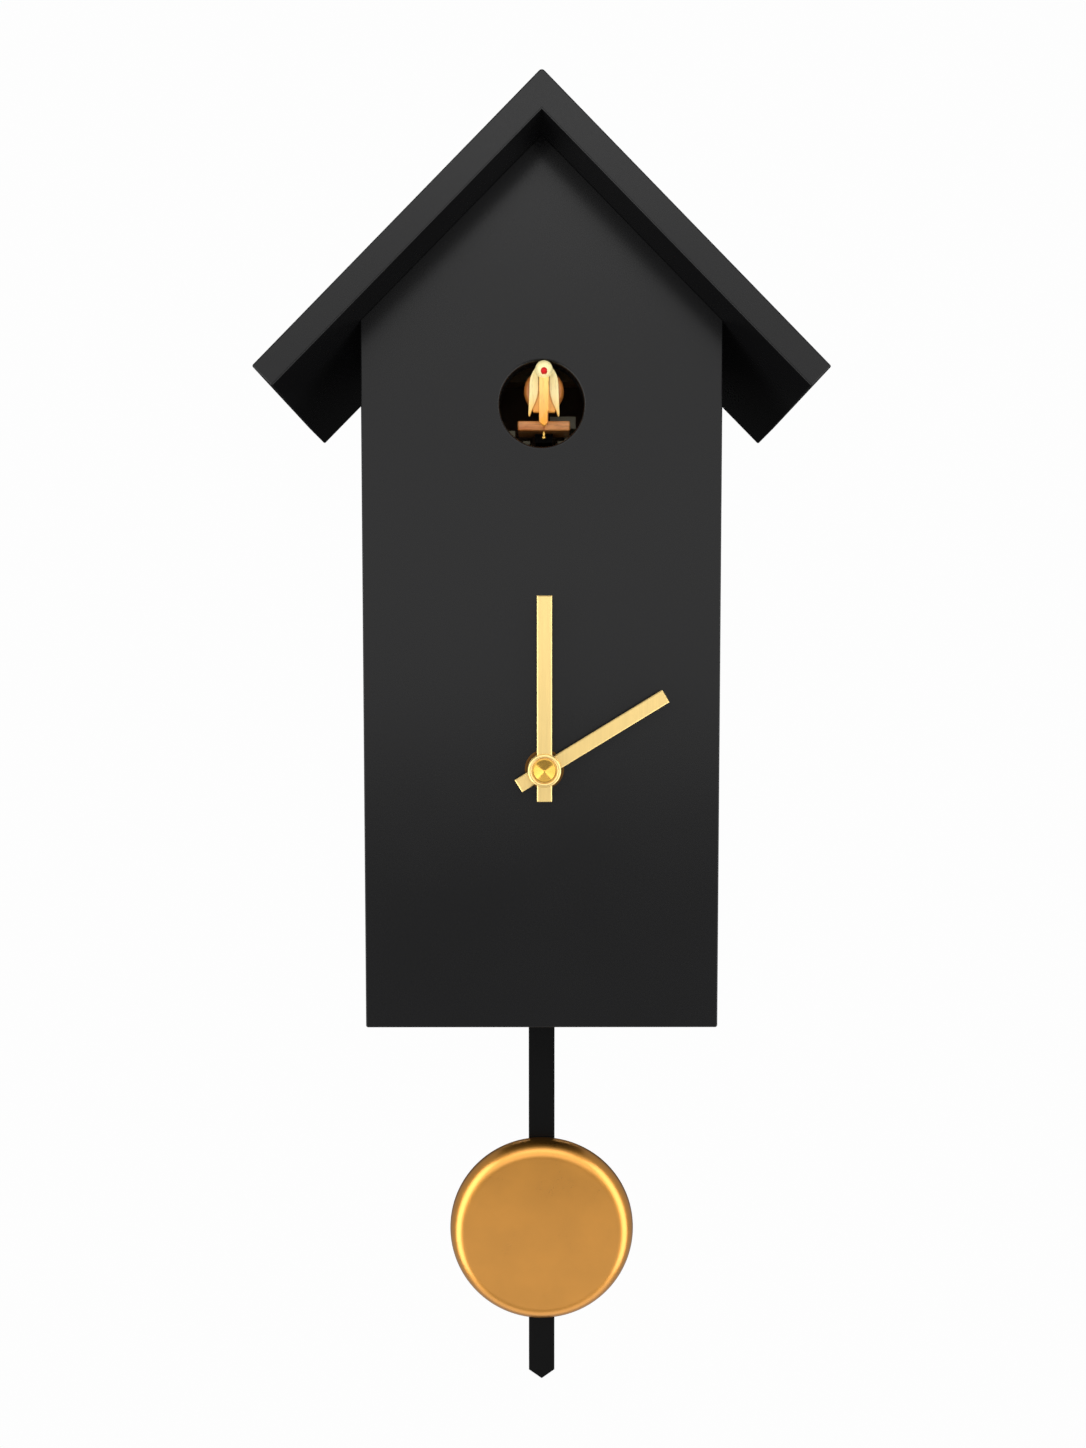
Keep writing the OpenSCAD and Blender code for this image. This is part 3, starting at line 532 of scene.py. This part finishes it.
class Solid:
    """Points and faces of a closed mesh in metres; flat faces keep hard edges."""

    def __init__(self, view=face_view):
        self.view = view
        self.points = []
        self.faces = []
        self.flat = set()

    def ring(self, outline, depth):
        """Adds an outline's points at one depth; gives their numbers."""
        start = len(self.points)
        self.points.extend(self.view(across, depth, up) for across, up in outline)
        return list(range(start, len(self.points)))

    def bridge(self, first, second):
        """Faces between two rings of the same length, or between a ring and a single point."""
        count = max(len(first), len(second))
        for i in range(count):
            j = (i + 1) % count
            corners = [first[i % len(first)], first[j % len(first)],
                       second[j % len(second)], second[i % len(second)]]
            face = list(dict.fromkeys(corners))
            if len(face) > 2:
                self.faces.append(face)

    def cap(self, rings):
        """A flat face bounded by the first ring, with the other rings as holes."""
        loops = [[Vector(self.points[i]) for i in ring] for ring in rings]
        indexes = [i for ring in rings for i in ring]
        for triangle in tessellate_polygon(loops):
            self.flat.add(len(self.faces))
            self.faces.append([indexes[i] for i in triangle])

    def plate(self, outline, front, back, front_edge, back_edge, holes=(), weights=None):
        """A slab with shaped edges. A hole is an outline and two edges; weights scale each edge's inset."""
        front_rings, back_rings = [], []
        loops = [(outline, front_edge, back_edge, weights or [1] * len(outline))]
        loops += [(hole, near, far, [-1] * len(hole)) for hole, near, far in holes]
        for points, near, far, shares in loops:
            rows = [(amount, front + depth) for amount, depth in near]
            rows += [(amount, back - depth) for amount, depth in reversed(far)]
            rings = [self.ring(inset(points, [amount * share for share in shares]), depth)
                     for amount, depth in rows]
            for first, second in zip(rings, rings[1:]):
                self.bridge(first, second)
            front_rings.append(rings[0])
            back_rings.append(rings[-1])
        self.cap(front_rings)
        self.cap(back_rings)
        return self

    def lathe(self, profile, centre, steps=96, squeeze=(1, 1), closed=False):
        """Turns pairs of radius and depth round an axis through the centre (across, depth, up)."""
        rings = []
        for radius, depth in profile:
            if radius == 0:
                rings.append(self.ring([(centre[0], centre[2])], centre[1] + depth))
                continue
            outline = [(centre[0] + x * squeeze[0], centre[2] + z * squeeze[1])
                       for x, z in circle((0, 0), radius, steps)]
            rings.append(self.ring(outline, centre[1] + depth))
        pairs = list(zip(rings, rings[1:]))
        if closed:
            pairs.append((rings[-1], rings[0]))
        for first, second in pairs:
            self.bridge(first, second)
        return self

    def mirrored(self):
        """The same solid on the other side of the plane x = 0."""
        self.points = [(-x, y, z) for x, y, z in self.points]
        return self


def new_piece(name, solid, slot_name, body, *nodes, crease=32, look=None):
    """Makes a piece of the object from a solid; it rides on the body and stands for the nodes."""
    mesh = bpy.data.meshes.new(name)
    mesh.from_pydata(solid.points, [], solid.faces)
    for face in mesh.polygons:
        face.use_smooth = face.index not in solid.flat
    shape = bmesh.new()
    shape.from_mesh(mesh)
    bmesh.ops.remove_doubles(shape, verts=shape.verts, dist=1e-7)
    bmesh.ops.recalc_face_normals(shape, faces=shape.faces)
    shape.to_mesh(mesh)
    shape.free()
    smooth = [face.use_smooth for face in mesh.polygons]
    mesh.set_sharp_from_angle(angle=math.radians(crease))
    # marking the sharp edges forgets which faces are flat
    mesh.polygons.foreach_set("use_smooth", smooth)
    piece = bpy.data.objects.new(name, mesh)
    bpy.context.scene.collection.objects.link(piece)
    mesh.materials.append(MATERIALS[look or slot_name])
    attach(piece, body)
    if nodes:
        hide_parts(*nodes)
    return piece


# ---- case ----

BOARD_EDGE = edge(0.55 * MM)
SMALL_EDGE = edge(0.3 * MM, steps=3)
SHARP = edge(0)


def make_front_panel():
    """The gabled front: soft outer edges, a rounded rim at the bird hole and a plain bore for the bush."""
    foot, bush_r = 1 * MM, 4.3 * MM
    corners = [(-HALF_W, CASE_BOTTOM), (HALF_W, CASE_BOTTOM), (HALF_W, EAVE_Z), (0, APEX_Z),
               (-HALF_W, EAVE_Z)]
    outline = rounded(corners, [foot, foot, 0, 0, 0])
    weights = [1] * len(outline)
    # the edges under the roof stay nearly sharp
    weights[-3:-1] = [0.4, 0.4]
    bird_hole = (circle((0, BIRD.z), HOLE_R, 144), edge(1.1 * MM, steps=8), SMALL_EDGE)
    bush_hole = (circle((HANDS.x, HANDS.z), bush_r), SMALL_EDGE, SMALL_EDGE)
    solid = Solid().plate(outline, FACE_Y, PANEL_HIGH.y, BOARD_EDGE, SHARP, [bird_hole, bush_hole], weights)
    new_piece("front_board", solid, "black_board", "case", "front_panel")


def make_side_walls():
    """Two walls behind the front, each with its lower outer corner rounded and its top under the roof."""
    foot = 1 * MM
    inner, outer = low("side_wall_right"), high("side_wall_right")
    corners = [(inner.x, CASE_BOTTOM), (HALF_W, CASE_BOTTOM), (HALF_W, EAVE_Z), (inner.x, outer.z)]
    outline = rounded(corners, [0, foot, 0, 0])
    for side in ("left", "right"):
        solid = Solid().plate(outline, inner.y, outer.y, SHARP, BOARD_EDGE)
        if side == "left":
            solid.mirrored()
        new_piece("wall_board_" + side, solid, "black_board", "case", "side_wall_" + side)


def make_roof():
    """Two boards mitred at the ridge, which is softly rounded."""
    board, ridge_r, eave_r = 12 * MM, 1.8 * MM, 0.8 * MM
    ends = edge(0.7 * MM)
    out = ROOF_HIGH.x
    under = board / math.sqrt(2)
    inner_apex = ROOF_HIGH.z - board * math.sqrt(2)
    ridge = (0, ROOF_HIGH.z - ridge_r * math.sqrt(2))
    corners = [(0, inner_apex), (out - under, ROOF_LOW.z), (out, ROOF_LOW.z + under),
               (ridge_r, ROOF_HIGH.z - ridge_r)]
    outline = rounded(corners, [0, eave_r, eave_r, 0])[:-1] + arc(ridge, ridge_r, 45, 90, 6)
    weights = [1] * len(outline)
    # the mitre is plain
    weights[-1] = 0
    for side in ("left", "right"):
        solid = Solid().plate(outline, ROOF_LOW.y, ROOF_HIGH.y, ends, ends, weights=weights)
        if side == "left":
            solid.mirrored()
        new_piece("roof_slab_" + side, solid, "black_board", "case", "roof_board_" + side)


# ---- hands ----

HAND_BEVEL = edge(0.45 * MM, 0.3 * MM, steps=1)


def make_hand(name, node, width, tail, length, degrees, bore, body, hub):
    """A bevelled bar in millimetres, turned clockwise from twelve, with a hub ring pressed onto it."""
    front, back = low(node).y, high(node).y
    turn = math.radians(-degrees)
    bar = in_metres(box_outline((-width / 2, -tail), (width / 2, length)))
    outline = [(HANDS.x + x * math.cos(turn) - z * math.sin(turn),
                HANDS.z + x * math.sin(turn) + z * math.cos(turn)) for x, z in bar]
    hole = (circle((HANDS.x, HANDS.z), bore * MM, 48), SHARP, SHARP)
    solid = Solid().plate(outline, front, back, HAND_BEVEL, edge(0.12 * MM, steps=2), [hole])
    new_piece(name, solid, "hand_gold", body, node)
    ring = Solid().lathe(in_metres(hub), (HANDS.x, front, HANDS.z), closed=True)
    new_piece(name + "_hub", ring, "hand_gold", body)


def make_hands():
    """The hour hand with a low flat hub, and the minute hand with a hub that has a raised rim."""
    bore, under = 2.55, 0.75
    hub = [(bore, under), (bore, -0.3), (6.7, -0.3), (7.15, -0.25), (7.45, -0.08), (7.6, 0.2), (7.6, 0.6),
           (7.45, under)]
    make_hand("hour_bar", "hour_hand", 6.3, 13.6, 63, 58.5, bore, "hour_pipe", hub)
    bore = 1.55
    hub = [(bore, under), (bore, -0.35), (5.5, -0.35), (5.65, -0.5), (5.9, -0.72), (6.3, -0.82), (6.9, -0.75),
           (7.25, -0.5), (7.45, 0), (7.45, 0.6), (7.3, under)]
    make_hand("minute_bar", "minute_hand", 6.57, 13.8, 77, 0, bore, "minute_arbor", hub)


def make_cone_nut():
    """A polished cone on a short rim, hollow from behind, screwed onto the minute arbor."""
    rim, tip, bore, bore_end = 5.3, 3.8, 1.55, -1.7
    profile = [(bore, 0), (rim - 0.15, 0), (rim, -0.15), (rim, -0.8), (rim - 0.1, -0.95), (rim - 0.35, -1),
               (rim - 0.5, -1.02), (rim - 0.6, -1.1), (0.9, -tip + 0.35), (0.6, -tip + 0.12),
               (0.3, -tip + 0.02), (0, -tip), (0, bore_end), (bore, bore_end)]
    solid = Solid().lathe(in_metres(profile), (HANDS.x, low("minute_hand").y, HANDS.z), closed=True)
    new_piece("cap_cone", solid, "gold_brass", "minute_arbor", "cone_nut", crease=25, look="brass_deep")


# ---- pendulum ----

def make_bob():
    """A pressed shell: flat face, deep rounded rim, thin wall, and a small chamfer at the open back."""
    round_r, skin, turned = 7.8 * MM, 1 * MM, 0.3 * MM
    depth = high("bob_shell").y - low("bob_shell").y
    rim = (BOB_R - round_r, round_r)
    profile = [(0, 0)] + arc(rim, round_r, -90, 0, 20)
    profile += [(BOB_R, depth - turned), (BOB_R - turned, depth), (BOB_R - skin, depth)]
    profile += arc(rim, round_r - skin, 0, -90, 20) + [(0, skin)]
    solid = Solid().lathe(profile, (BOB.x, low("bob_shell").y, BOB.z), steps=160)
    new_piece("bob_pressing", solid, "bob_gold", "bob", "bob_shell")


def make_rod():
    """A flat bar with chamfered edges, a pointed foot and the hole of its stud."""
    low_corner, high_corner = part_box("pendulum_rod")
    corner, point = 2 * MM, 4.5 * MM
    stud_down, stud_r = 7 * MM, 1.6 * MM
    half = high_corner.x
    outline = [(0, low_corner.z), (half, low_corner.z + point), (half, high_corner.z - corner),
               (half - corner, high_corner.z), (-half + corner, high_corner.z),
               (-half, high_corner.z - corner), (-half, low_corner.z + point)]
    stud = (circle((0, high_corner.z - stud_down), stud_r, 48), SHARP, SHARP)
    bevel = edge(0.5 * MM, 0.3 * MM, steps=2)
    solid = Solid().plate(outline, low_corner.y, high_corner.y, bevel, bevel, [stud])
    new_piece("rod_bar", solid, "rod_black", "pendulum", "pendulum_rod")


# ---- bird ----

# the head's place from the bird's, and its radius, in millimetres
HEAD_Y, HEAD_Z, HEAD_R = -1.0, 14.7, 3.85


def from_bird(x, y, z):
    """A point in millimetres from the bird's place."""
    return (BIRD.x + x * MM, BIRD.y + y * MM, BIRD.z + z * MM)


def bird_outline(points, side=1):
    """An outline in millimetres from the bird's place, counter-clockwise on both sides."""
    placed = [(BIRD.x + side * x * MM, BIRD.z + z * MM) for x, z in points]
    return placed if side > 0 else placed[::-1]


def make_head():
    """A ball that sits on the top of the breast."""
    steps = 24
    turns = [math.pi * i / steps for i in range(steps + 1)]
    ball = [(HEAD_R * math.sin(turn), -HEAD_R * math.cos(turn)) for turn in turns]
    ball[0], ball[-1] = (0, -HEAD_R), (0, HEAD_R)
    head = Solid().lathe(in_metres(ball), from_bird(0, HEAD_Y, HEAD_Z), steps=48)
    new_piece("bird_head", head, "bird_cream", "carriage")


def make_breast():
    """A flat strip down to the perch, cut away at one side of its foot and leaning back below the knee."""
    half, top, knee, lean = 2.15, 14.5, -3, 0.3
    strip = bird_outline([(-half, top), (-half, -7.4), (-1.7, -8.2), (-0.4, -9.2), (0.4, -9.2), (1.5, -8.2),
                          (1.6, -7.4), (1.6, -3.5), (half, -3.2), (half, top)])
    front, back = FACE_Y - 1.6 * MM, FACE_Y + 1.4 * MM
    breast = Solid().plate(strip, front, back, edge(0.5 * MM), edge(0.2 * MM, steps=2))
    knee_z = BIRD.z + knee * MM
    breast.points = [(x, y + max(0, knee_z - z) * lean, z) for x, y, z in breast.points]
    new_piece("bird_breast", breast, "bird_orange", "carriage")


def make_keel():
    """An upright web that joins the breast, the belly and the rump, cut to a side view of the bird."""
    half_t = 1.9 * MM
    spine = [(FACE_Y + y * MM, BIRD.z + z * MM) for y, z in
             [(1.3, 10.8), (1.3, -3), (3.2, -8.4), (5, -7.6), (8, -4.8), (25, -4.8), (27, 6), (18, 10.8)]]
    keel = Solid(side_view).plate(spine, BIRD.x - half_t, BIRD.x + half_t, SMALL_EDGE, SMALL_EDGE)
    new_piece("bird_keel", keel, "bird_orange", "carriage", look="bird_brown")


def make_belly():
    """A plate between the wings; its front lies a little behind theirs."""
    outline = bird_outline([(-4.7, -2.9), (4.9, -2.9), (5.9, -0.6), (6.2, 4), (5.9, 9), (-5.9, 9), (-6.2, 4),
                            (-5.9, -0.6)])
    belly = Solid().plate(outline, FACE_Y + 3.4 * MM, FACE_Y + 4.8 * MM, edge(0.8 * MM), SHARP)
    new_piece("bird_belly", belly, "bird_orange", "carriage")


def make_rump():
    """The round body that reaches back to the carriage, a little taller than wide."""
    profile = [(0, 0), (7.0, 0), (7.9, 0.4), (8.6, 1.6), (8.95, 3.4), (9, 4.9), (8.75, 7.2), (8.1, 9.4),
               (7.1, 11.5), (5.8, 13.6), (4.2, 15.8), (2.6, 17.4), (1.2, 18.2), (0, 18.4)]
    rump = Solid().lathe(in_metres(profile), from_bird(0, 4.6, 7.4), steps=72, squeeze=(1, 1.03))
    new_piece("bird_rump", rump, "bird_orange", "carriage", "bird_body", crease=50, look="bird_brown")


def make_beak():
    """A short round peg with a flat underside."""
    radius, floor = 1.4, 11.9
    profile = [(0, 1.6), (radius, 1.6), (radius, -0.9), (radius * 0.95, -1.4), (radius * 0.8, -1.8),
               (radius * 0.5, -2.1), (0, -2.2)]
    beak = Solid().lathe(in_metres(profile), from_bird(0, HEAD_Y - 3.4, 13.1), steps=36)
    floor_z = BIRD.z + floor * MM
    beak.points = [(x, y, max(z, floor_z)) for x, y, z in beak.points]
    new_piece("bird_bill", beak, "beak_red", "carriage", "bird_beak")


def make_wings():
    """Two flat leaves with rounded edges, one the mirror of the other."""
    leaf = [(2.3, 13.5), (2.3, 6.7), (2.75, 3.9), (3.3, 2.2), (3.8, 0.9), (4.5, -0.6), (5.3, -2.1),
            (6.1, -4.3), (6.35, -4.75), (6.6, -4.8), (6.8, -4.6), (6.95, -3.6), (6.85, -1), (6.7, 1.6),
            (6.55, 5), (6.4, 9.5), (6.1, 12), (5.4, 13.9), (4.65, 15.3), (4.1, 16.1), (3.7, 16.5),
            (3.3, 16.5), (2.8, 15.8)]
    for side, name in ((-1, "left"), (1, "right")):
        node = "wing_" + name
        solid = Solid().plate(bird_outline(leaf, side), low(node).y, high(node).y,
                              edge(0.45 * MM), edge(0.2 * MM, steps=2))
        new_piece("feather_" + name, solid, "bird_cream", node, node)


def make_perch():
    """A block of wood with rounded edges and a groove in its front."""
    low_corner, high_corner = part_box("perch_block")
    front, back = low_corner.y, high_corner.y
    height, round_r = 4.3 * MM, 0.8 * MM
    groove, groove_t = 0.35 * MM, 0.8 * MM
    corners = [(low_corner.x, front), (BIRD.x - groove, front), (BIRD.x - groove, front + groove_t),
               (BIRD.x + groove, front + groove_t), (BIRD.x + groove, front), (high_corner.x, front),
               (high_corner.x, back), (low_corner.x, back)]
    outline = rounded(corners, [round_r, 0, 0, 0, 0, round_r, round_r, round_r])
    ends = edge(0.7 * MM)
    solid = Solid(top_view).plate(outline, high_corner.z - height, high_corner.z, ends, ends)
    new_piece("perch_wood", solid, "perch_wood", "carriage", "perch_block")


def make_perch_pin():
    """A small turned pin under the perch."""
    foot = low("perch_block")
    profile = [(0, 0), (0.75, 0.05), (1.1, 0.3), (1.2, 0.8), (1.05, 1.3), (0.75, 1.5), (0.75, 3.4),
               (0.95, 3.45), (0.95, 3.6), (0, 3.6)]
    pin = Solid(top_view).lathe(in_metres(profile), (BIRD.x, foot.z, foot.y + 3 * MM), steps=48)
    new_piece("perch_pin", pin, "gold_brass", "carriage")


finish_cad_nodes()
make_front_panel()
make_side_walls()
make_roof()
make_hands()
make_cone_nut()
make_bob()
make_rod()
make_head()
make_breast()
make_keel()
make_belly()
make_rump()
make_beak()
make_wings()
make_perch()
make_perch_pin()
make_camera()
make_surround()
make_lights()
